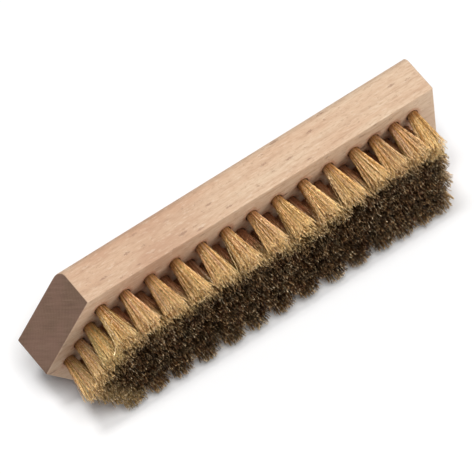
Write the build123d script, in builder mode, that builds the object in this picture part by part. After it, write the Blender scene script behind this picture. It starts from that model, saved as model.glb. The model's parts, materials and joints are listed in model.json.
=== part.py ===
from build123d import *
import os

# Block brush with a beech back and staple-set tufts of crimped brass wire.
#
# Frame: the brush lies on its long side face, as it is put down on a bench.
#   +Z  up, across the block's width (z = 0 is the side face it rests on)
#   +X  along the block, towards its square heel (the pointed nose is at -X)
#   +Y  from the tuft face (y = 0) into the block, so the tufts point to -Y
# The origin is at half length, on the tuft face, at the bottom side face.
# All sizes are in millimetres.

# ---------------------------------------------------------------- block
BLOCK_LENGTH = 186.0      # nose point to heel
BLOCK_WIDTH = 60.0        # side face to side face
BLOCK_THICK = 20.0        # tuft face to back
NOSE_LENGTH = 22.5        # length taken up by the two nose facets
BACK_EDGE_RADIUS = 4.5    # rounding of the two long back edges
EDGE_EASE = 0.5           # sanding of all the other edges
MIDDLE_Z = BLOCK_WIDTH / 2

# ---------------------------------------------------------------- holes
HOLE_RADIUS = 2.5
HOLE_DEPTH = 12.0
DRILL_POINT = 1.4         # height of the cone left by the drill
MOUTH_CHAMFER = 0.3

# ---------------------------------------------------------------- staples
STAPLE_BITE = 0.4         # how far it enters the wood on each side of the hole
STAPLE_WIDTH = 2 * (HOLE_RADIUS + STAPLE_BITE)   # across the hole, along X
STAPLE_HEIGHT = 1.6       # along the hole
STAPLE_THICK = 0.4
STAPLE_CORNER = 0.35      # chamfer of the two leading corners
STAPLE_DEPTH = 9.2        # tuft face to the near edge of the staple
STAPLE_Y = STAPLE_DEPTH + STAPLE_HEIGHT / 2      # centre of the staple

# The slot for the staple, in the wood and in the tuft
STAPLE_PLAY = 0.03        # gap all round the staple
SLOT_WIDTH = STAPLE_WIDTH + 2 * STAPLE_PLAY
SLOT_HEIGHT = STAPLE_HEIGHT + 2 * STAPLE_PLAY
SLOT_THICK = STAPLE_THICK + 2 * STAPLE_PLAY

# ---------------------------------------------------------------- tufts
TRIM_LENGTH = 20.0        # free length of the wire
ROOT_RADIUS = 2.45        # packed in the hole
TIP_RADIUS = 4.0          # opened out at the trim
TIP_CROWN = 0.8           # doming of the trimmed ends
RIM_WIDTH = 0.8           # steeper outer ring of the doming
RIM_RISE = 0.18           # inner edge of that ring, short of the trim
FOLD_DEPTH = 11.6         # how deep the folded end of the wire sits
FOLD_RADIUS = 1.2         # rounding of the folded end
ARC_MIDDLE = 0.293        # inset of a quarter arc's middle, per unit of radius
# The tuft's flank from the hole to the trim: (radius, y)
TUFT_FLANK = [
    (ROOT_RADIUS, -0.4),
    (ROOT_RADIUS + 0.25, -5.0),
    (ROOT_RADIUS + 0.66, -10.0),
    (TIP_RADIUS - 0.42, -15.0),
    (TIP_RADIUS, TIP_CROWN - TRIM_LENGTH),
]

# ---------------------------------------------------------------- layout
# Seven long rows run along X; row 1 is the top one.
LONG_ROWS = range(1, 8)
ROW_PITCH = 6.83
ROW_Z = {row: MIDDLE_Z + ROW_PITCH * (4 - row) for row in LONG_ROWS}

# Cross rows that fill the nose: (x, long rows that hold a tuft)
NOSE_ROWS = [(-82.2, [4]), (-76.6, [3, 5]), (-71.5, [2, 4, 6])]
# Cross rows that hold tufts of the odd long rows
ODD_X = [
    -65.5, -54.2, -42.5, -30.5, -18.2, -6.8, 5.7,
    17.5, 30.0, 42.0, 54.2, 63.7, 73.4, 82.4,
]
# Cross rows of the even long rows stand half way between them.
EVEN_X = [(a + b) / 2 for a, b in zip(ODD_X, ODD_X[1:])]

CROSS_ROWS = sorted(
    NOSE_ROWS
    + [(x, [1, 3, 5, 7]) for x in ODD_X]
    + [(x, [2, 4, 6]) for x in EVEN_X]
)
HOLES = [(x, ROW_Z[row]) for x, rows in CROSS_ROWS for row in rows]


def hole_planes(depth):
    """A plane facing into the block, at this depth in each hole."""
    return [Plane(origin=(x, depth, z), z_dir=(0, 1, 0)) for x, z in HOLES]


def make_block():
    """A pointed beech board, square at the heel, drilled from the tuft face."""
    nose_x = -BLOCK_LENGTH / 2
    heel_x = BLOCK_LENGTH / 2
    shoulder_x = nose_x + NOSE_LENGTH

    with BuildPart() as block:
        with BuildSketch(Plane.XZ):
            with BuildLine():
                Polyline(
                    (heel_x, 0),
                    (heel_x, BLOCK_WIDTH),
                    (shoulder_x, BLOCK_WIDTH),
                    (nose_x, MIDDLE_Z),
                    (shoulder_x, 0),
                    close=True,
                )
            make_face()
        # the normal of Plane.XZ is -Y, so a negative amount goes to +Y
        extrude(amount=-BLOCK_THICK)
        # the two long edges of the back
        back_edges = block.edges().filter_by(Axis.X).group_by(Axis.Y)[-1]
        fillet(back_edges, radius=BACK_EDGE_RADIUS)
        # every other edge is sanded just enough to take its sharpness off; the
        # lines where the big rounding runs into the faces are already smooth
        rounding_lines = block.edges().filter_by(Axis.X).filter_by(
            lambda edge: edge.center().Y > 1
        )
        fillet(block.edges() - rounding_lines, radius=EDGE_EASE)
        # blind holes for the tufts
        with BuildSketch(Plane.XZ):
            with Locations(*HOLES):
                Circle(HOLE_RADIUS)
        extrude(amount=-HOLE_DEPTH, mode=Mode.SUBTRACT)
        # the drill's point at the bottom of each hole
        with Locations(*hole_planes(HOLE_DEPTH)):
            Cone(
                HOLE_RADIUS,
                0,
                DRILL_POINT,
                align=(Align.CENTER, Align.CENTER, Align.MIN),
                mode=Mode.SUBTRACT,
            )
        # broken edge at the mouth of each hole
        with Locations(*hole_planes(0)):
            Cone(
                HOLE_RADIUS + MOUTH_CHAMFER,
                HOLE_RADIUS,
                MOUTH_CHAMFER,
                align=(Align.CENTER, Align.CENTER, Align.MIN),
                mode=Mode.SUBTRACT,
            )
        # the cuts that the staples press into the wood on both sides of a hole
        with Locations(*[(x, STAPLE_Y, z) for x, z in HOLES]):
            Box(SLOT_WIDTH, SLOT_HEIGHT, SLOT_THICK, mode=Mode.SUBTRACT)
    return block.part


def make_tuft():
    """A bundle of crimped wire, folded in two round its staple.

    The folded end fills the hole; the free ends open out towards the trim.
    """
    arc_inset = FOLD_RADIUS * ARC_MIDDLE
    with BuildPart() as tuft:
        with BuildSketch(Plane.XY):
            with BuildLine():
                fold_end = Line((0, FOLD_DEPTH), (ROOT_RADIUS - FOLD_RADIUS, FOLD_DEPTH))
                fold_arc = ThreePointArc(
                    fold_end @ 1,
                    (ROOT_RADIUS - arc_inset, FOLD_DEPTH - arc_inset),
                    (ROOT_RADIUS, FOLD_DEPTH - FOLD_RADIUS),
                )
                root = Line(fold_arc @ 1, TUFT_FLANK[0])
                flank = Polyline(root @ 1, *TUFT_FLANK[1:])
                crown = Polyline(
                    flank @ 1,
                    (TIP_RADIUS - RIM_WIDTH, RIM_RISE - TRIM_LENGTH),
                    (0, -TRIM_LENGTH),
                )
                Line(crown @ 1, fold_end @ 0)
            make_face()
        revolve(axis=Axis.Y)
        # slot for the staple, cut right across the tuft
        with Locations((0, STAPLE_Y, 0)):
            Box(4 * HOLE_RADIUS, SLOT_HEIGHT, SLOT_THICK, mode=Mode.SUBTRACT)
    return tuft.part


def make_staple():
    """A short length of flat steel wire, driven across the hole over the fold.

    Its leading corners are cut back so that it bites into the wood.
    """
    with BuildPart() as staple:
        with BuildSketch(Plane.XY) as blade:
            with Locations((0, STAPLE_Y)):
                Rectangle(STAPLE_WIDTH, STAPLE_HEIGHT)
            chamfer(blade.vertices().group_by(Axis.Y)[-1], length=STAPLE_CORNER)
        extrude(amount=STAPLE_THICK / 2, both=True)
    return staple.part


def set_in_holes(part, holes):
    """Copies of a part, one in each of the holes given as (x, z)."""
    with BuildPart() as row_parts:
        with Locations(*[(x, 0, z) for x, z in holes]):
            add(part)
    return row_parts.part


def save(part, name):
    part.label = name
    export_step(part, f"parts/{name}.step")


os.makedirs("parts", exist_ok=True)
save(make_block(), "brush_block")

# One node for each cross row of tufts, numbered from the nose to the heel
tuft = make_tuft()
for number, (x, rows) in enumerate(CROSS_ROWS, start=1):
    row_holes = [(x, ROW_Z[row]) for row in rows]
    save(set_in_holes(tuft, row_holes), f"tufts_cross_row_{number:02d}")

# One node for each long row of staples, numbered from the top side face down
staple = make_staple()
for number in LONG_ROWS:
    row_holes = [(x, ROW_Z[number]) for x, rows in CROSS_ROWS if number in rows]
    save(set_in_holes(staple, row_holes), f"staples_long_row_{number}")
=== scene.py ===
"""A brass wire brush with a block of bare beech.

The block lies along X, with its nose at -X and its heel at +X. The tufts stand out of its
face at y = 0 towards -Y, in cross rows that run along Z. Each CAD tuft is replaced by its
separate crimped wires. Lengths are in millimetres unless noted; meshes are in metres.
"""

import json
import math

import bpy
import numpy as np
from mathutils import Matrix, Vector

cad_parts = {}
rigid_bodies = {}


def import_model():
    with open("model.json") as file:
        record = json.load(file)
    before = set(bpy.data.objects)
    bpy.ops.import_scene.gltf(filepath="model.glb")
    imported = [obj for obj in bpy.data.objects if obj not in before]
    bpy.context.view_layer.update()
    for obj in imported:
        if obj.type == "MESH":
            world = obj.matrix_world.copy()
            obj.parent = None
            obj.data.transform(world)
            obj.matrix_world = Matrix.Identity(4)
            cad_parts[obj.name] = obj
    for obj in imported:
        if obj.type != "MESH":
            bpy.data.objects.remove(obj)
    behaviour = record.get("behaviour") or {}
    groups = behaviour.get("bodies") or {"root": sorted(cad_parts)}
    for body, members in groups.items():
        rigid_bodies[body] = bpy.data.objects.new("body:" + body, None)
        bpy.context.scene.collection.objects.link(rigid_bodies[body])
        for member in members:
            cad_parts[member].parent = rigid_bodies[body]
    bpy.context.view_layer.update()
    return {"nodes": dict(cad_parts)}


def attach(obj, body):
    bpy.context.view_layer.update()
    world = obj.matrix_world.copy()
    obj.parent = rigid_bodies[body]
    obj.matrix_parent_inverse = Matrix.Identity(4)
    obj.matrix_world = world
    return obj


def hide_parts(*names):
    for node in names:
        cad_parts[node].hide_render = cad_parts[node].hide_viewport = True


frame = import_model()
nodes = frame["nodes"]

MM = 0.001

# ---------------------------------------------------------------- layout of the tufts

MIDDLE_Z = 30.0       # the brush's middle line
ROW_STEP = 6.83       # in Z, between neighbouring rows of holes
NOSE_HOLE_X = -82.2
TIPS_HALF = 26.3      # from the middle line to the outermost tips
TIPS_NOSE = 5.9       # from the nose hole to the slanting sides of the tips' outline
TIPS_HEEL_X = 88.3

# X of the holes from the nose to the heel; every other one belongs to the odd rows
HOLE_STOPS = [
    -77.0, -65.5, -54.2, -42.5, -30.5, -18.2, -6.8, 5.7,
    17.5, 30.0, 42.0, 54.2, 63.7, 73.4, 82.4, 91.8,
]
# holes of the nose: X, rows above the middle line
NOSE_HOLES = [(NOSE_HOLE_X, 0), (-76.6, 1), (-76.6, -1), (-71.5, 2), (-71.5, 0), (-71.5, -2)]

# ---------------------------------------------------------------- node trees


class Tree:
    """Short names for building a material's node tree."""

    def __init__(self, name):
        self.mat = bpy.data.materials.new(name)
        self.mat.use_nodes = True
        self.nt = self.mat.node_tree
        self.nt.nodes.clear()
        self.out = self.nt.nodes.new("ShaderNodeOutputMaterial")

    def new(self, kind, **props):
        node = self.nt.nodes.new(kind)
        for key, value in props.items():
            setattr(node, key, value)
        return node

    def put(self, socket, value):
        """Link a socket to the input, or set the input's value."""
        if isinstance(value, bpy.types.NodeSocket):
            self.nt.links.new(value, socket)
        elif isinstance(value, tuple):
            if len(value) == 3 and len(socket.default_value) == 4:
                value = (*value, 1.0)
            socket.default_value = value
        else:
            socket.default_value = value

    def put_all(self, node, values):
        for socket, value in zip(node.inputs, values):
            self.put(socket, value)
        return node.outputs

    def math(self, operation, *values):
        return self.put_all(self.new("ShaderNodeMath", operation=operation), values)[0]

    def add(self, total, *terms):
        for term in terms:
            total = self.math("ADD", total, term)
        return total

    def multiply(self, product, *factors):
        for factor in factors:
            product = self.math("MULTIPLY", product, factor)
        return product

    def subtract(self, a, b):
        return self.math("SUBTRACT", a, b)

    def divide(self, a, b):
        return self.math("DIVIDE", a, b)

    def hypot(self, a, b):
        return self.math("SQRT", self.add(self.multiply(a, a), self.multiply(b, b)))

    def vec(self, operation, a, b):
        outputs = self.put_all(self.new("ShaderNodeVectorMath", operation=operation), (a, b))
        return outputs["Value" if operation in ("DOT_PRODUCT", "DISTANCE") else "Vector"]

    def scaled(self, vector, x, y, z):
        return self.vec("MULTIPLY", vector, (x, y, z))

    def millimetres(self, geometry):
        return self.scaled(geometry.outputs["Position"], 1000.0, 1000.0, 1000.0)

    def split(self, vector):
        return self.put_all(self.new("ShaderNodeSeparateXYZ"), (vector,))

    def combine(self, *values):
        return self.put_all(self.new("ShaderNodeCombineXYZ"), values)[0]

    def attribute(self, name):
        return self.new("ShaderNodeAttribute", attribute_name=name).outputs["Fac"]

    def noise(self, vector, scale=1.0, detail=2.0, rough=0.5):
        node = self.new("ShaderNodeTexNoise")
        self.put(node.inputs["Vector"], vector)
        node.inputs["Scale"].default_value = scale
        node.inputs["Detail"].default_value = detail
        node.inputs["Roughness"].default_value = rough
        return node.outputs["Fac"]

    def grain(self, vector, along, across, detail=2.0, rough=0.5):
        """Noise with one frequency along X and another across it."""
        stretched = self.scaled(vector, along, across, across)
        return self.noise(stretched, detail=detail, rough=rough)

    def ramp(self, factor, stops):
        node = self.new("ShaderNodeValToRGB")
        elements = node.color_ramp.elements
        while len(elements) < len(stops):
            elements.new(0.5)
        for element, (position, colour) in zip(elements, stops):
            element.position = position
            element.color = (*colour, 1)
        self.put(node.inputs[0], factor)
        return node.outputs["Color"]

    def smooth(self, value, span, to=(0.0, 1.0)):
        """Ease between the two values of `to` as value crosses the span."""
        node = self.new("ShaderNodeMapRange", interpolation_type="SMOOTHSTEP")
        self.put(node.inputs["Value"], value)
        self.put(node.inputs["From Min"], span[0])
        self.put(node.inputs["From Max"], span[1])
        self.put(node.inputs["To Min"], to[0])
        self.put(node.inputs["To Max"], to[1])
        return node.outputs["Result"]

    def mix(self, factor, base, colour, blend="MIX"):
        node = self.new("ShaderNodeMix", data_type="RGBA", blend_type=blend)
        # the colour sockets follow those for floats and vectors
        self.put(node.inputs[0], factor)
        self.put(node.inputs[6], base)
        self.put(node.inputs[7], colour)
        return node.outputs[2]

    def tint(self, base, value, span, amount, colour):
        """Lay up to `amount` of the colour over the base as value crosses the span."""
        return self.mix(self.smooth(value, span, to=(0.0, amount)), base, colour)

    def bump(self, height, strength, distance):
        node = self.new("ShaderNodeBump")
        node.inputs["Strength"].default_value = strength
        node.inputs["Distance"].default_value = distance
        self.put(node.inputs["Height"], height)
        return node.outputs[0]

    def principled(self, **inputs):
        shader = self.new("ShaderNodeBsdfPrincipled")
        for key, value in inputs.items():
            self.put(shader.inputs[key.replace("_", " ")], value)
        self.nt.links.new(shader.outputs[0], self.out.inputs["Surface"])
        return self.mat


# ---------------------------------------------------------------- beech

PITH_Y, PITH_Z = 74.0, -22.0      # the line the rings curve about
RING_WIDTH = 3.1
LARGE_FLECKS = dict(along=0.135, across=0.52, keep=(0.58, 0.74), smallest=0.16, spread=0.17)
SMALL_FLECKS = dict(along=0.40, across=1.25, keep=(0.50, 0.68), smallest=0.15, spread=0.14)


def fleck_mask(t, vector, along, across, keep, smallest, spread):
    """Spots stretched along X; `keep` is the span of the cells' random value that keeps them."""
    cells = t.new("ShaderNodeTexVoronoi")
    t.put(cells.inputs["Vector"], t.scaled(vector, along, across, across))
    cells.inputs["Scale"].default_value = 1.0
    chance, size, _ = t.put_all(t.new("ShaderNodeSeparateColor"), (cells.outputs["Color"],))
    kept = t.smooth(chance, keep)
    size = t.math("MULTIPLY_ADD", size, spread, smallest)
    inside = t.subtract(size, cells.outputs["Distance"])
    return t.multiply(t.smooth(inside, span=(-0.02, 0.11)), kept)


def broad_colour(t, pos, x, radius):
    """Bands of pinker and yellower wood, a redder patch towards the nose, and the rings."""
    bands = t.grain(pos, along=0.012, across=0.10, detail=3.0, rough=0.55)
    base = t.ramp(bands, [
        (0.30, (0.775, 0.520, 0.352)),
        (0.50, (0.830, 0.612, 0.432)),
        (0.70, (0.860, 0.668, 0.480)),
    ])
    # the patch fades as a bell curve about x = -37
    offset = t.divide(t.add(x, 37.0), 30.0)
    patch = t.math("POWER", 2.718, t.multiply(offset, offset, -1.0))
    cloud = t.grain(pos, along=0.035, across=0.075, detail=3.0, rough=0.6)
    patch = t.multiply(patch, t.smooth(cloud, span=(0.30, 0.62), to=(0.35, 1.0)))
    base = t.mix(t.multiply(patch, 0.76), base, colour=(0.600, 0.345, 0.225))
    # early wood rises slowly, late wood ends in a thin dark line
    ring = t.math("FRACT", t.divide(radius, RING_WIDTH))
    late = t.multiply(t.smooth(ring, span=(0.45, 0.93)), t.smooth(ring, span=(1.0, 0.95)))
    broken = t.smooth(t.grain(pos, along=0.05, across=0.3), span=(0.35, 0.62))
    return t.mix(t.multiply(late, broken, 0.40), base, colour=(0.56, 0.33, 0.21))


def side_colour(t, pos, base, bent, side, lump, fibre, flecks):
    """Fibres, broken lines and ray flecks over the broad colour."""
    base = t.tint(base, lump, span=(0.49, 0.72), amount=0.66, colour=(0.60, 0.385, 0.255))
    base = t.tint(base, lump, span=(0.47, 0.26), amount=0.50, colour=(0.940, 0.780, 0.600))
    base = t.tint(base, fibre, span=(0.42, 0.68), amount=0.32, colour=(0.58, 0.36, 0.23))
    # the same large flecks, shifted, give each a pale edge
    pale_edge = fleck_mask(t, t.vec("ADD", bent, (0.5, -0.75, -0.75)), **LARGE_FLECKS)
    base = t.mix(t.multiply(pale_edge, 0.26, side), base, colour=(0.960, 0.820, 0.650))
    # thin broken lines along the grain
    dash = t.grain(bent, along=0.11, across=2.1, detail=1.0)
    where = t.grain(pos, along=0.06, across=0.20)
    dashes = t.multiply(t.smooth(dash, span=(0.645, 0.72)), t.smooth(where, span=(0.44, 0.60)))
    base = t.mix(t.multiply(dashes, 0.70, side), base, colour=(0.500, 0.300, 0.195))
    return t.mix(t.multiply(flecks, 0.76, side), base, colour=(0.440, 0.270, 0.185))


def end_colour(t, pos, x, radius, pith_dy, pith_dz):
    """End grain: darker and browner, with fine rings and the rays running across them."""
    ring = t.math("FRACT", t.divide(radius, RING_WIDTH / 2))
    ends = t.ramp(ring, [
        (0.0, (0.315, 0.195, 0.130)),
        (0.70, (0.262, 0.160, 0.106)),
        (0.93, (0.205, 0.120, 0.080)),
        (1.0, (0.30, 0.185, 0.125)),
    ])
    # the rays: fine round the pith, long outwards from it
    turn = t.multiply(t.math("ARCTAN2", pith_dz, pith_dy), 320.0)
    polar = t.combine(turn, t.multiply(radius, 0.30), t.multiply(x, 0.05))
    rays = t.noise(polar, detail=3.0, rough=0.6)
    ends = t.tint(ends, rays, span=(0.50, 0.70), amount=0.45, colour=(0.42, 0.29, 0.205))
    ends = t.mix(0.55, ends, colour=(0.268, 0.165, 0.110))
    # marks of a saw that ran askew: fine across the first direction, long along the second
    across = t.multiply(t.vec("DOT_PRODUCT", pos, (0.449, 0.660, 0.598)), 0.95)
    along = t.multiply(t.vec("DOT_PRODUCT", pos, (0.397, -0.748, 0.530)), 0.07)
    marks = t.noise(t.combine(across, along), detail=3.0, rough=0.62)
    ends = t.tint(ends, marks, span=(0.50, 0.68), amount=0.55, colour=(0.190, 0.112, 0.078))
    ends = t.tint(ends, marks, span=(0.48, 0.32), amount=0.45, colour=(0.375, 0.250, 0.178))
    blot = t.noise(pos, scale=0.07, detail=3.0, rough=0.55)
    return t.tint(ends, blot, span=(0.35, 0.70), amount=0.55, colour=(0.355, 0.205, 0.155))


def hole_distance(t, pos, x, z):
    """How far the nearest hole is, found by counting the holes passed along X."""
    passed = None
    for start, stop in zip(HOLE_STOPS, HOLE_STOPS[1:]):
        node = t.new("ShaderNodeMapRange")
        step = t.put_all(node, (x, start, stop))["Result"]
        passed = step if passed is None else t.add(passed, step)

    def to_whole(value):
        """How far a value is from the nearest whole number."""
        return t.math("ABSOLUTE", t.subtract(t.math("FRACT", t.add(value, 0.5)), 0.5))

    swing = to_whole(passed)
    pitch = t.smooth(x, span=(53.5, 55.0), to=(12.0, 9.5))
    rise = to_whole(t.divide(t.subtract(z, MIDDLE_Z + 3 * ROW_STEP), 2 * ROW_STEP))

    def away(across, up):
        return t.hypot(t.multiply(across, pitch), t.multiply(up, 2 * ROW_STEP))

    # where the pattern has no more holes, the distance is pushed up past any darkening
    push = (0.0, 10.0)
    odd = away(swing, rise)
    even = away(t.subtract(0.5, swing), t.subtract(0.5, rise))
    from_middle = t.math("ABSOLUTE", t.subtract(z, MIDDLE_Z))
    even = t.add(even, t.smooth(from_middle, span=(18.0, 19.5), to=push))
    even = t.add(even, t.smooth(x, span=(81.8, 82.6), to=push))
    odd = t.add(odd, t.smooth(x, span=(86.6, 87.2), to=push))
    near = t.add(t.math("MINIMUM", odd, even), t.smooth(x, span=(-69.5, -71.0), to=push))
    for hole_x, row in NOSE_HOLES:
        centre = (hole_x, 0.0, MIDDLE_Z + ROW_STEP * row)
        near = t.math("MINIMUM", near, t.vec("DISTANCE", pos, centre))
    return near


def beech():
    """Bare sanded beech: the grain runs along X."""
    t = Tree("beech_bare")
    geometry = t.new("ShaderNodeNewGeometry")
    pos = t.millimetres(geometry)
    x, y, z = t.split(pos)
    normal_x, normal_y, _ = t.split(geometry.outputs["Normal"])

    # how far the surface is cut across the grain
    end = t.smooth(t.math("ABSOLUTE", normal_x), span=(0.45, 0.72))
    side = t.subtract(1.0, end)

    # distance from the pith, with the slow wander of the grain along the board
    pith_dy = t.subtract(y, PITH_Y)
    pith_dz = t.subtract(z, PITH_Z)
    slow = t.multiply(t.grain(pos, along=0.010, across=0.03), 9.0)
    quick = t.multiply(t.grain(pos, along=0.028, across=0.14), 2.4)
    radius = t.add(t.hypot(pith_dy, pith_dz), slow, quick)

    # lumps a few millimetres long, and fine fibres over them
    lump = t.grain(pos, along=0.30, across=1.15, detail=3.0, rough=0.60)
    fibre = t.grain(pos, along=0.16, across=3.4, detail=4.0, rough=0.62)

    # ray flecks: short dashes along a slightly bent grain
    warp = t.new("ShaderNodeTexNoise")
    t.put(warp.inputs["Vector"], t.scaled(pos, 0.3, 0.6, 0.6))
    shift = t.vec("SUBTRACT", warp.outputs["Color"], (0.5, 0.5, 0.5))
    bent = t.vec("ADD", pos, t.scaled(shift, 2.4, 1.5, 1.5))
    large = fleck_mask(t, bent, **LARGE_FLECKS)
    small = fleck_mask(t, t.vec("ADD", bent, (11.0, 5.0, 3.0)), **SMALL_FLECKS)
    flecks = t.math("MAXIMUM", large, t.multiply(small, 0.8))

    base = broad_colour(t, pos, x, radius)
    base = side_colour(t, pos, base, bent, side, lump, fibre, flecks)
    colour = t.mix(end, base, end_colour(t, pos, x, radius, pith_dy, pith_dz))

    # relief: open fibres, sunken lumps and flecks, saw marks on the end grain, fine tooth
    height = t.add(t.multiply(fibre, 0.4), t.multiply(lump, -0.8))
    height = t.subtract(height, t.multiply(flecks, side, 0.55))
    saw = t.noise(t.scaled(pos, 0.7, 3.2, 0.25))
    height = t.add(height, t.multiply(saw, end, 0.5))
    tooth = t.noise(pos, scale=2.2, detail=3.0, rough=0.6)
    height = t.add(height, t.multiply(tooth, 0.18))
    normal = t.bump(height, strength=0.6, distance=0.00020)
    rough = t.smooth(fibre, span=(0.3, 0.7), to=(0.56, 0.72))
    rough = t.add(rough, t.multiply(end, 0.14))

    # the whole block a little darker
    colour = t.mix(1.0, colour, (0.79, 0.79, 0.79), "MULTIPLY")
    # painted shade on the tuft face near the nose
    face = t.smooth(normal_y, span=(-0.6, -0.95))
    nose_painted_shade = t.multiply(face, t.smooth(x, span=(-68.0, -90.0)))
    colour = t.mix(t.multiply(nose_painted_shade, 0.85), colour, (0.76, 0.74, 0.73), "MULTIPLY")
    # darker brown wood with a ragged edge round the mouths of the holes
    near = hole_distance(t, pos, x, z)
    ragged = t.noise(pos, scale=0.75, detail=3.0, rough=0.65)
    near = t.add(near, t.math("MULTIPLY_ADD", ragged, 5.0, -2.5))
    hole_rim_darkening = t.multiply(face, t.smooth(near, span=(4.7, 2.7)))
    colour = t.mix(t.multiply(hole_rim_darkening, 0.80), colour, (0.74, 0.52, 0.43), "MULTIPLY")
    return t.principled(Base_Color=colour, Roughness=rough, Normal=normal, Specular_IOR_Level=0.28)


# ---------------------------------------------------------------- brass and steel


def painted_wire_shade(t, pos, tone, along):
    """The colour of the painted shade on the wires: near black, with painted glints at the top of
    the tone range, and a red painted shade at the roots.
    """
    # the top of the ramp gives painted glints
    shade_colour = t.ramp(tone, [
        (0.00, (0.007, 0.0024, 0.001)),
        (0.50, (0.038, 0.0120, 0.0033)),
        (0.74, (0.118, 0.046, 0.015)),
        (0.88, (0.460, 0.275, 0.125)),
        (1.00, (1.000, 0.800, 0.530)),
    ])
    # a redder bloom here and there
    shifted = t.vec("ADD", pos, (40.0, 0.0, 17.0))
    bloom = t.noise(t.scaled(shifted, 0.22, 0.06, 0.22), rough=0.55)
    shade_colour = t.tint(shade_colour, bloom, span=(0.50, 0.66), amount=0.42, colour=(0.105, 0.026, 0.013))
    # painted deep shade in clumps
    clump = t.noise(t.scaled(pos, 0.17, 0.05, 0.17), detail=3.0, rough=0.6)
    shade_colour = t.tint(shade_colour, clump, span=(0.46, 0.62), amount=0.72, colour=(0.012, 0.005, 0.002))
    # painted shade at the roots, a deep red
    return t.tint(shade_colour, along, span=(0.75, 0.25), amount=0.95, colour=(0.470, 0.185, 0.095))


def brass_wire():
    """Fine drawn brass: each wire has its own tone, and shade is painted in towards the root and
    over the inner wires.
    """
    t = Tree("brass_wire_crimped")
    tone = t.attribute("tone")
    painted_shade = t.attribute("painted_shade")
    hue = t.attribute("hue")
    along = t.attribute("along")
    pos = t.millimetres(t.new("ShaderNodeNewGeometry"))
    base = t.ramp(tone, [
        (0.00, (0.190, 0.080, 0.014)),
        (0.25, (0.460, 0.228, 0.052)),
        (0.55, (0.860, 0.520, 0.180)),
        (0.85, (0.950, 0.645, 0.292)),
        (1.00, (0.980, 0.790, 0.520)),
    ])
    # some wires are greener, some pinker
    base = t.tint(base, hue, span=(0.62, 0.88), amount=0.65, colour=(0.560, 0.460, 0.190))
    base = t.tint(base, hue, span=(0.30, 0.10), amount=0.60, colour=(0.920, 0.560, 0.380))
    # dark and bright speckle where the crimps rub, and patches of tarnish
    speck = t.noise(t.scaled(pos, 1.9, 1.25, 1.9))
    base = t.tint(base, speck, span=(0.47, 0.30), amount=0.62, colour=(0.330, 0.180, 0.060))
    base = t.tint(base, speck, span=(0.56, 0.70), amount=0.70, colour=(1.0, 0.860, 0.600))
    tarnish = t.noise(t.scaled(pos, 0.9, 0.5, 0.9), detail=3.0, rough=0.6)
    base = t.tint(base, tarnish, span=(0.50, 0.75), amount=0.50, colour=(0.46, 0.25, 0.08))
    # the free ends are worn brighter
    base = t.tint(base, along, span=(0.62, 0.98), amount=0.36, colour=(1.0, 0.780, 0.400))
    # painted shade: the root inside the hole is redder and duller
    root = t.smooth(along, span=(0.26, 0.0))
    base = t.mix(t.multiply(root, 0.55), base, colour=(0.60, 0.270, 0.095))
    # painted shade: the inner wires darkened where the light doesn't reach them
    base = t.mix(painted_shade, base, painted_wire_shade(t, pos, tone, along))
    # the trim left bare metal on some of the cut ends
    base = t.mix(t.attribute("cut"), base, colour=(0.86, 0.66, 0.36))
    rough = t.smooth(tarnish, span=(0.3, 0.8), to=(0.26, 0.44))
    # the painted shade also takes the shine away
    shine = t.math("MULTIPLY_ADD", painted_shade, -0.40, 0.5)
    return t.principled(Base_Color=base, Metallic=0.55, Roughness=rough, Specular_IOR_Level=shine)


def staple_steel():
    """Mottled zinc-grey steel."""
    t = Tree("staple_zinc")
    pos = t.millimetres(t.new("ShaderNodeNewGeometry"))
    mottle = t.noise(pos, scale=1.4, detail=3.0, rough=0.6)
    base = t.mix(mottle, base=(0.50, 0.50, 0.49), colour=(0.66, 0.66, 0.64))
    rough = t.smooth(mottle, span=(0.2, 0.8), to=(0.3, 0.5))
    return t.principled(Base_Color=base, Metallic=1.0, Roughness=rough)


def give(ob, mat):
    ob.data.materials.clear()
    ob.data.materials.append(mat)


BEECH = beech()
BRASS = brass_wire()
STEEL = staple_steel()

give(nodes["brush_block"], BEECH)
for name, ob in nodes.items():
    if name.startswith("staples_"):
        give(ob, STEEL)

# ---------------------------------------------------------------- the wires

HOLE_RADIUS = 2.32    # where the wires may stand in the hole
WIRE_PITCH = 0.335    # between wires packed in the hole
ROW_RATIO = 0.866     # row spacing of the packing, in pitches
WIRE_RADIUS = 0.135
STAPLE_GAP = 0.36     # left free on both sides of the hole's middle for the staple
TIP_SPREAD = 2.32     # how many times wider the bundle is at its tips
HELD_Y = 8.9          # where the straight part in the hole ends
FOLD_Y = 10.86        # where the fold round the staple starts
TRIM = 20.0           # how far the tufts stand out
SIDES = 3
LEG = 31              # stations along the free part of a leg
FOLD = 7              # stations round the fold

# width of the band of tips along the upper sides that the key light reaches, left out of the
# painted shade: X, width
LIT_FRINGE = np.array([
    (-93.0, 8.9), (-81.0, 9.0), (-72.5, 10.7), (-64.0, 14.5), (-57.0, 13.5), (-40.0, 12.3),
    (-13.0, 11.6), (2.0, 11.6), (10.0, 13.5), (16.0, 15.4), (28.0, 15.4), (38.0, 13.5),
    (50.0, 10.6), (60.0, 8.7), (70.0, 10.8), (82.0, 13.5), (93.0, 13.5),
])
# width of the brown band, only half as dark in painted shade, along the lower nose, the bottom and
# the heel
LOW_FRINGE, BOTTOM_FRINGE, HEEL_FRINGE = 11.0, 3.2, 5.0

# the stray wire's way from root to tip: X, Y, Z
STRAY_WAY = np.array([
    (-66.4, 0.0, 49.6), (-67.9, -7.0, 49.9), (-69.3, -14.2, 50.2),
    (-69.9, -16.4, 48.9), (-71.3, -18.4, 48.5), (-73.1, -19.8, 48.4),
])


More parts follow.
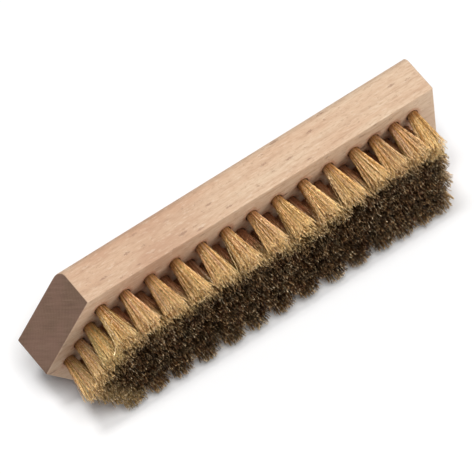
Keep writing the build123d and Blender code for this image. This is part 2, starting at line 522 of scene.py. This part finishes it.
def tuft_centres(ob):
    """Each tuft's (x, z), highest first, from the tips of the CAD node's solids."""
    co = np.empty(len(ob.data.vertices) * 3)
    ob.data.vertices.foreach_get("co", co)
    co = co.reshape(-1, 3) * 1000.0
    found = []
    for x, _, z in co[co[:, 1] < 0.01 - TRIM]:
        if not any(abs(x - a) < 1.5 and abs(z - b) < 1.5 for a, b in found):
            found.append((round(float(x), 3), round(float(z), 3)))
    return sorted(found, key=lambda centre: -centre[1])


def sides_of(x, z):
    """How far a point is inside each side of the tips' outline: top, upper nose, lower nose,
    bottom, heel."""
    along = 0.8 * (x - NOSE_HOLE_X)
    upper = along + 0.6 * (MIDDLE_Z - z) + TIPS_NOSE
    lower = along + 0.6 * (z - MIDDLE_Z) + TIPS_NOSE
    top = MIDDLE_Z + TIPS_HALF - z
    return top, upper, lower, z - (MIDDLE_Z - TIPS_HALF), TIPS_HEEL_X - x


def depth_inside(x, z):
    return np.minimum.reduce(sides_of(x, z))


def past_lit_fringe(x, z):
    """How far past the lit fringe a tip stands, for the painted shade: past the golden one, and
    past the brown one.
    """
    top, upper, lower, bottom, heel = sides_of(x, z)
    wide = np.interp(x, LIT_FRINGE[:, 0], LIT_FRINGE[:, 1])
    past_brown = (lower - LOW_FRINGE, bottom - BOTTOM_FRINGE, heel - HEEL_FRINGE)
    return np.minimum(top - wide, upper - wide), np.minimum.reduce(past_brown)


def soft(value, low, high):
    u = np.clip((value - low) / (high - low), 0, 1)
    return u * u * (3 - 2 * u)


def lattice(rng):
    """Where the wires on one side of the staple stand: packed, a little disturbed."""
    points = []
    rows = int(HOLE_RADIUS / (WIRE_PITCH * ROW_RATIO)) + 2
    shift_x = rng.uniform(-0.5, 0.5) * WIRE_PITCH
    shift_z = rng.uniform(0, 0.25) * WIRE_PITCH
    for j in range(rows):
        z = STAPLE_GAP + shift_z + j * WIRE_PITCH * ROW_RATIO
        for i in range(-10, 11):
            x = (i + 0.5 * (j % 2)) * WIRE_PITCH + shift_x
            if math.hypot(x, z) <= HOLE_RADIUS - WIRE_RADIUS * 0.5:
                points.append((x, z))
    points = np.array(points)
    return points + rng.normal(0, 0.022, points.shape)


def leg_path(rng, root, lean, wild):
    """The free legs from the hole's mouth to the trim, as n x LEG x 3 with y negative outwards.
    root is n x 2, in the face's plane about the hole's centre."""
    n = len(root)
    s = np.linspace(0.0, 1.0, LEG)[None, :]
    # how far a wire stands out follows its place in the bundle
    place = np.hypot(root[:, 0], root[:, 1]) / HOLE_RADIUS
    spread = TIP_SPREAD + rng.normal(0, 0.12, (n, 1))
    tip = root * spread + lean + rng.normal(0, 0.30, (n, 2))
    # a few stray wires
    stray = rng.random(n) < 0.025 * wild
    tip[stray] += rng.normal(0, 0.9, (int(stray.sum()), 2))
    # the bundle's rim is shorter, and some wires are broken off
    length = TRIM - 0.2 - 1.0 * (place ** 2) - np.abs(rng.normal(0, 0.55, n))
    length = length - (rng.random(n) < 0.14) * rng.uniform(0.5, 3.5, n)
    y = -s * length[:, None]
    ease = 0.90 * s + 0.10 * s * s
    xz = root[:, None, :] + (tip - root)[:, None, :] * ease[:, :, None]
    # each wire also bows a little on its own
    bow = rng.normal(0, 0.16, (n, 1, 2)) * (np.sin(np.pi * s) * s)[:, :, None]
    # and its cut end is kinked to one side
    bend = (np.clip((s - 0.66) / 0.34, 0, 1) ** 2)[:, :, None]
    kink = rng.normal(0, 0.34 + 0.30 * wild, (n, 1, 2)) * bend
    xz = xz + bow + kink
    # crimp: one flat wave in the wire's own plane, dying out where the hole holds it
    wavelength = rng.uniform(2.5, 3.3, (n, 1))
    phase = rng.uniform(0, 2 * np.pi, (n, 1))
    turn = rng.uniform(0, np.pi, n)
    height = rng.uniform(0.07, 0.155, (n, 1)) * np.clip(s * 5.0, 0, 1) * (0.7 + 0.6 * s)
    wave = height * np.sin(2 * np.pi * (-y) / wavelength + phase)
    plane = np.stack([np.cos(turn), np.sin(turn)], 1)[:, None, :]
    xz = xz + wave[:, :, None] * plane
    return np.stack([xz[:, :, 0], y, xz[:, :, 1]], 2)


def held_point(root):
    return np.stack([root[:, 0], np.full(len(root), HELD_Y), root[:, 1]], 1)[:, None, :]


def wires_of_tuft(rng, centre_x, centre_z):
    """Centre lines of one tuft's wires: tip, hole, fold round the staple, hole, tip.
    Gives the paths (n x stations x 3), and each wire's tone and hue."""
    half = lattice(rng)
    n = len(half)
    inner = float(soft(depth_inside(centre_x, centre_z), 7.0, 12.0))
    lean = rng.normal(0, 0.22 + 0.35 * inner, 2)
    # the tufts nearest the heel lean further
    if centre_x > 80:
        lean += (-1.4, -1.8) if centre_z > 50 else (-1.0, 0.0)
    elif centre_x > 76:
        lean[0] += 1.5
    leg = leg_path(rng, half, lean, inner)
    other = half * np.array([1.0, -1.0]) + rng.normal(0, 0.02, half.shape)
    other_leg = leg_path(rng, other, lean, inner)
    # the fold: outer wires go round inner ones
    z = half[:, 1]
    angle = np.linspace(0.0, np.pi, FOLD)[None, :]
    drop = (0.10 + 0.36 * (z / HOLE_RADIUS) * 2.0)[:, None]
    fold = np.stack([
        half[:, 0:1] * (1 - angle / np.pi) + other[:, 0:1] * (angle / np.pi),
        FOLD_Y + drop * np.sin(angle),
        z[:, None] * np.cos(angle),
    ], 2)
    path = np.concatenate(
        [leg[:, ::-1], held_point(half), fold, held_point(other), other_leg], 1)
    path = path + np.array([centre_x, 0.0, centre_z])
    # about a third of the wires are dark
    tone = np.where(
        rng.random(n) < 0.34,
        rng.uniform(0.0, 0.35, n),
        np.clip(rng.normal(0.72, 0.16, n), 0, 1),
    )
    # high tufts near the nose are greener and painted duller for the shade they stand in, some
    # towards the heel are pinker
    cast = rng.normal(0, 0.07)
    if centre_x < -70 and centre_z > 43:
        cast += 0.26
        tone = tone * 0.80
    if 40 < centre_x < 76:
        cast -= 0.13
    hue = np.clip(0.5 + 0.82 * (rng.random(n) - 0.5) + cast, 0, 1)
    return path, tone, hue


def stray_wire(path, tone, hue):
    """Bend the wire that stands nearest the stray way's root out of the bundle."""
    root = STRAY_WAY[0]
    k = int(np.argmin(np.hypot(path[:, LEG, 0] - root[0], path[:, LEG, 2] - root[2])))
    steps = np.linalg.norm(np.diff(STRAY_WAY, axis=0), axis=1)
    at = np.concatenate([[0.0], np.cumsum(steps)])
    s = np.linspace(0, at[-1], LEG)
    leg = np.stack([np.interp(s, at, STRAY_WAY[:, i]) for i in range(3)], 1)
    for _ in range(2):          # round its bends
        leg[1:-1] = (leg[:-2] + 2 * leg[1:-1] + leg[2:]) / 4
    path[k, :LEG] = leg[::-1]
    tone[k], hue[k] = 1.0, 0.5


def painted_shade_of(paths, along, rng):
    """Painted shade on the wires, 0 none to 1 black: on the inner wires that the light doesn't
    reach, at the roots of the inner tufts, and on the cut ends."""
    n, m, _ = paths.shape
    half_way = m // 2
    tips = np.stack([paths[:, 0], paths[:, -1]], 1)
    gold, brown = past_lit_fringe(tips[:, :, 0], tips[:, :, 2])
    jitter = rng.normal(0, 1.1, (n, 2))
    inner = soft(gold + jitter, -3.4, 3.8) * (0.50 + 0.50 * soft(brown + jitter, -2.5, 2.8))
    inner = np.repeat(inner, [half_way, m - half_way], axis=1)
    up = along[None, :]
    end = soft(up, 0.80, 1.0) * rng.uniform(0.1, 0.9, (n, 1)) * (0.12 + 0.88 * inner)
    body = inner * (0.62 + 0.38 * soft(up, 0.10, 0.60)) * rng.uniform(0.78, 1.0, (n, 1))
    # painted shade at the roots of the inner tufts
    middle = paths[:, half_way]
    deep = soft(depth_inside(middle[:, 0], middle[:, 2]), 7.0, 11.0)[:, None]
    root = deep * soft(1.25 - up, 0.0, 0.85) * rng.uniform(0.60, 0.92, (n, 1))
    body = np.maximum(body, root)
    return np.clip(1 - (1 - body) * (1 - end), 0, 1)


def tube_vertices(paths, rng):
    """Rings of SIDES points round the paths, in metres, carried along without twisting."""
    n, m, _ = paths.shape
    points = paths * MM
    tangents = np.empty_like(points)
    tangents[:, 1:-1] = points[:, 2:] - points[:, :-2]
    tangents[:, 0] = points[:, 1] - points[:, 0]
    tangents[:, -1] = points[:, -1] - points[:, -2]
    tangents /= np.linalg.norm(tangents, axis=2, keepdims=True)
    u = rng.normal(0, 1, (n, 3))
    verts = np.empty((n, m, SIDES, 3))
    angle = (np.arange(SIDES) * 2 * np.pi / SIDES)[None, :, None]
    for k in range(m):
        tangent = tangents[:, k]
        u = u - (u * tangent).sum(1, keepdims=True) * tangent
        u /= np.linalg.norm(u, axis=1, keepdims=True)
        v = np.cross(tangent, u)
        ring = np.cos(angle) * u[:, None, :] + np.sin(angle) * v[:, None, :]
        verts[:, k] = points[:, k, None, :] + ring * (WIRE_RADIUS * MM)
    return verts


def tube_faces(n, m):
    """Quads between the rings, and the caps: all the first ends, then all the last ones."""
    starts = np.arange(n) * m * SIDES
    base = starts[:, None, None] + (np.arange(m - 1) * SIDES)[None, :, None]
    side = np.arange(SIDES)
    i = side[None, None, :]
    j = ((side + 1) % SIDES)[None, None, :]
    quads = np.stack([base + i, base + j, base + SIDES + j, base + SIDES + i], -1)
    first = starts[:, None] + side[::-1][None, :]
    last = starts[:, None] + (m - 1) * SIDES + side[None, :]
    return quads.reshape(-1, 4), np.concatenate([first, last], 0)


def tube_mesh(name, paths, tones, hues, along, seed):
    """One mesh of closed tubes along the paths (n x m x 3)."""
    n, m, _ = paths.shape
    rng = np.random.default_rng(seed)
    verts = tube_vertices(paths, rng)
    quads, caps = tube_faces(n, m)
    me = bpy.data.meshes.new(name)
    me.vertices.add(n * m * SIDES)
    me.vertices.foreach_set("co", verts.reshape(-1).astype(np.float32))
    loops = np.concatenate([quads.reshape(-1), caps.reshape(-1)]).astype(np.int32)
    cap_starts = len(quads) * 4 + np.arange(len(caps)) * SIDES
    starts = np.concatenate([np.arange(len(quads)) * 4, cap_starts]).astype(np.int32)
    me.loops.add(len(loops))
    me.loops.foreach_set("vertex_index", loops)
    me.polygons.add(len(starts))
    me.polygons.foreach_set("loop_start", starts)
    me.update(calc_edges=True)
    smooth = np.ones(len(starts), dtype=bool)
    smooth[len(quads):] = False
    me.polygons.foreach_set("use_smooth", smooth)

    painted_shade = painted_shade_of(paths, along, rng)
    bare = np.zeros(len(starts))
    bare[len(quads):] = np.where(rng.random(2 * n) < 0.42, rng.uniform(0.15, 0.85, 2 * n), 0.0)
    for key, domain, values in [
        ("tone", "POINT", np.repeat(tones, m * SIDES)),
        ("along", "POINT", np.tile(np.repeat(along, SIDES), n)),
        ("hue", "POINT", np.repeat(hues, m * SIDES)),
        ("painted_shade", "POINT", np.repeat(painted_shade.reshape(-1), SIDES)),
        ("cut", "FACE", bare),
    ]:
        attribute = me.attributes.new(key, "FLOAT", domain)
        attribute.data.foreach_set("value", values.astype(np.float32))
    me.validate()
    return me


def cross_row(name):
    """The wires that replace one CAD row of tufts."""
    number = int(name.rsplit("_", 1)[1])
    tufts = []
    for k, (x, z) in enumerate(tuft_centres(nodes[name])):
        tuft = wires_of_tuft(np.random.default_rng(1000 * number + k), x, z)
        if abs(x + 65.5) < 0.6 and z > 50:
            stray_wire(*tuft)
        tufts.append(tuft)
    paths, tones, hues = (np.concatenate(column) for column in zip(*tufts))
    # 0 in the hole, 1 at the tips
    leg = np.linspace(0, 1, LEG)
    along = np.concatenate([leg[::-1], np.zeros(FOLD + 2), leg])
    me = tube_mesh(f"wires_cross_row_{number:02d}", paths, tones, hues, along, 77 + number)
    ob = bpy.data.objects.new(me.name, me)
    bpy.context.collection.objects.link(ob)
    give(ob, BRASS)
    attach(ob, "root")
    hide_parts(name)


for name in sorted(n for n in nodes if n.startswith("tufts_cross_row_")):
    cross_row(name)

# ---------------------------------------------------------------- floor and world

FLOOR_HALF, FLOOR_Z = 30.0, -0.0002      # metres

floor_mesh = bpy.data.meshes.new("floor")
corners = [(-1, -1), (1, -1), (1, 1), (-1, 1)]
floor_mesh.from_pydata(
    [(x * FLOOR_HALF, y * FLOOR_HALF, FLOOR_Z) for x, y in corners], [], [(0, 1, 2, 3)])
floor = bpy.data.objects.new("floor", floor_mesh)
bpy.context.collection.objects.link(floor)
white = Tree("floor_white")
give(floor, white.principled(
    Base_Color=(0.90, 0.90, 0.90), Roughness=0.9, Specular_IOR_Level=0.0))

world = bpy.data.worlds.new("studio")
world.use_nodes = True
background = world.node_tree.nodes["Background"]
background.inputs["Color"].default_value = (0.95, 0.97, 1.0, 1)
background.inputs["Strength"].default_value = 0.18
bpy.context.scene.world = world

# ---------------------------------------------------------------- lights

on_floor = bpy.data.collections.new("lit_floor")
on_floor.objects.link(floor)
on_brush = bpy.data.collections.new("lit_brush")
on_wires = bpy.data.collections.new("lit_wires")
for ob in bpy.context.scene.objects:
    if ob.type == "MESH" and ob is not floor:
        on_brush.objects.link(ob)
        if ob.name.startswith("wires_"):
            on_wires.objects.link(ob)

# A large key over the brush, a lower one off the tuft face, a weak one beyond the nose, a very
# wide one that fills the shadows between the wires, and one on the far side (+Y) that gives
# the wires their shine. The floor has its own two, to stay white with a small soft shadow.
# Name, direction towards the lamp, power, angle in degrees, colour, what it lights.
SUNS = [
    ("key", (0.34, 0.10, 0.93), 2.15, 46, (1.0, 0.975, 0.94), on_brush),
    ("front", (0.74, -0.52, 0.43), 1.66, 26, (1.0, 0.985, 0.97), on_brush),
    ("side", (-0.75, 0.20, 0.63), 0.34, 40, (1.0, 0.95, 0.93), on_brush),
    ("dome", (-0.05, -0.80, 0.60), 0.75, 140, (1.0, 0.97, 0.94), on_brush),
    ("shine", (0.10, 0.50, 0.86), 2.0, 30, (1.0, 0.96, 0.90), on_wires),
    ("floor_key", (-0.12, -0.36, 0.92), 2.22, 24, (1.0, 1.0, 1.0), on_floor),
    ("floor_top", (-0.17, -0.01, 0.98), 1.08, 11, (1.0, 1.0, 1.0), on_floor),
]
for name, direction, power, angle, colour, receivers in SUNS:
    lamp = bpy.data.lights.new(name, "SUN")
    lamp.energy = power
    lamp.angle = math.radians(angle)
    lamp.color = colour
    ob = bpy.data.objects.new(name, lamp)
    ob.rotation_mode = "QUATERNION"
    ob.rotation_quaternion = Vector(direction).to_track_quat("Z", "Y")
    ob.light_linking.receiver_collection = receivers
    bpy.context.collection.objects.link(ob)

# ---------------------------------------------------------------- camera

# the camera's own axes in the world, and its place
CAMERA_RIGHT = (0.8175449498508622, -0.5715294314314149, -0.07052917113531725)
CAMERA_UP = (0.5090276996050663, 0.6599467014186244, 0.5525949260728433)
CAMERA_BACK = (-0.26927877006575457, -0.48767249286212616, 0.8304604046536559)
CAMERA_PLACE = (-837.8394022943572, -1513.9704735325759, 2620.418159777272)

cam = bpy.data.objects.new("camera", bpy.data.cameras.new("camera"))
cam.data.sensor_width = 36.0
cam.data.lens = 607.594937
cam.data.clip_start, cam.data.clip_end = 0.1, 100.0
pose = Matrix((CAMERA_RIGHT, CAMERA_UP, CAMERA_BACK)).transposed().to_4x4()
pose.translation = [v * MM for v in CAMERA_PLACE]
cam.matrix_world = pose
bpy.context.collection.objects.link(cam)
bpy.context.scene.camera = cam
bpy.context.scene.view_settings.view_transform = "Standard"
bpy.context.scene.view_settings.look = "None"

bpy.context.view_layer.update()
